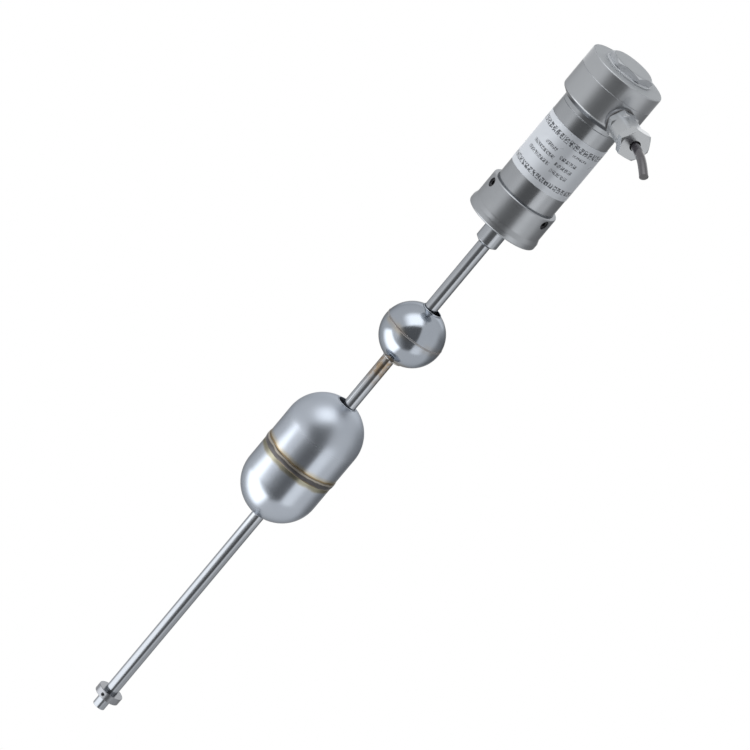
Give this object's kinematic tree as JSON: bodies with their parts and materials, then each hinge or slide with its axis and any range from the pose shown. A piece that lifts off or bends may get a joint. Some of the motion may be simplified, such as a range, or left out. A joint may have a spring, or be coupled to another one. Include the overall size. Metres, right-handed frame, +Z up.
{
  "type": "magnetostrictive level gauge",
  "caption": "Magnetostrictive level gauge: round wiring head with screw lid and cable gland on a barrel, guide rod with a ball float and a capsule float that slide to show liquid levels.",
  "frame": {"origin": "centre of the seat face under the collar's flange, on the guide rod's axis", "axes": "+Z up along the guide rod towards the lid, +X along the cable gland"},
  "size_m": [0.1592, 0.0791, 0.7924],
  "materials": {
    "head_metal": "satin turned stainless steel",
    "gland_metal": "matt plated metal",
    "rod_metal": "polished stainless steel",
    "ball_metal": "polished stainless steel",
    "capsule_metal": "satin stainless steel with a heat-tinted weld",
    "label_foil": "silvery white foil",
    "dark_screw": "blackened steel",
    "seal_rubber": "matt",
    "cable_sheath": "semi-gloss",
    "core_plastic": "semi-gloss",
    "board_laminate": "satin",
    "terminal_plastic": "satin",
    "chip_plastic": "matt",
    "moulding": "matt",
    "copper": "enamelled wire",
    "magnet": "matt sintered"
  },
  "bodies": {
    "head": {"base_collar": "head_metal", "clamp_screws": "dark_screw", "rod_neck": "rod_metal", "barrel": "head_metal", "label": "label_foil", "head_casing": "head_metal", "gland_washer": "seal_rubber", "gland_body": "gland_metal", "gland_nut": "gland_metal", "gland_seal": "seal_rubber", "cable": "cable_sheath", "cable_tail": "cable_sheath", "cable_cores": "core_plastic", "terminal_plate": "board_laminate", "plate_screws": "dark_screw", "terminal_block": "terminal_plastic", "terminal_screws": "dark_screw", "sensor_holder": "moulding", "coil_bobbin": "moulding", "pickup_coil": "copper", "wave_damper": "seal_rubber", "circuit_board": "board_laminate", "board_chips": "chip_plastic", "board_capacitors": "chip_plastic", "rod_tube": "rod_metal", "end_plug": "rod_metal", "end_damper": "seal_rubber", "waveguide_wire": "copper", "waveguide_sleeve": "moulding", "return_wire": "copper", "guide_spacers": "seal_rubber", "stop_collar": "rod_metal", "stop_screw": "dark_screw"},
    "lid_ring": {"lid_seal": "seal_rubber"},
    "lid": {"lid": "head_metal"},
    "ball_float": {"ball_upper_shell": "ball_metal", "ball_lower_shell": "ball_metal", "ball_sleeve": "ball_metal", "ball_magnet": "magnet"},
    "capsule_float": {"capsule_upper_shell": "capsule_metal", "capsule_lower_shell": "capsule_metal", "capsule_sleeve": "capsule_metal", "capsule_magnet": "magnet"}
  },
  "joints": [
    {"name": "ball_slide", "type": "slide", "parent": "head", "child": "ball_float", "axis": [0, 0, 1], "range_m": [-0.0295, 0.0785]},
    {"name": "capsule_slide", "type": "slide", "parent": "head", "child": "capsule_float", "axis": [0, 0, 1], "range_m": [-0.2258, 0.0295]},
    {"name": "lid_lift", "type": "slide", "parent": "head", "child": "lid_ring", "axis": [0, 0, 1], "range_m": [0, 0.0096]},
    {"name": "lid_turn", "type": "hinge", "parent": "lid_ring", "child": "lid", "pos_m": [0, 0, 0.17], "axis": [0, 0, 1], "range_deg": [0, 1800]}
  ],
  "couplings": [
    {"joint": "lid_lift", "follows": "lid_turn", "m_per_rad": 0.00030239}
  ]
}
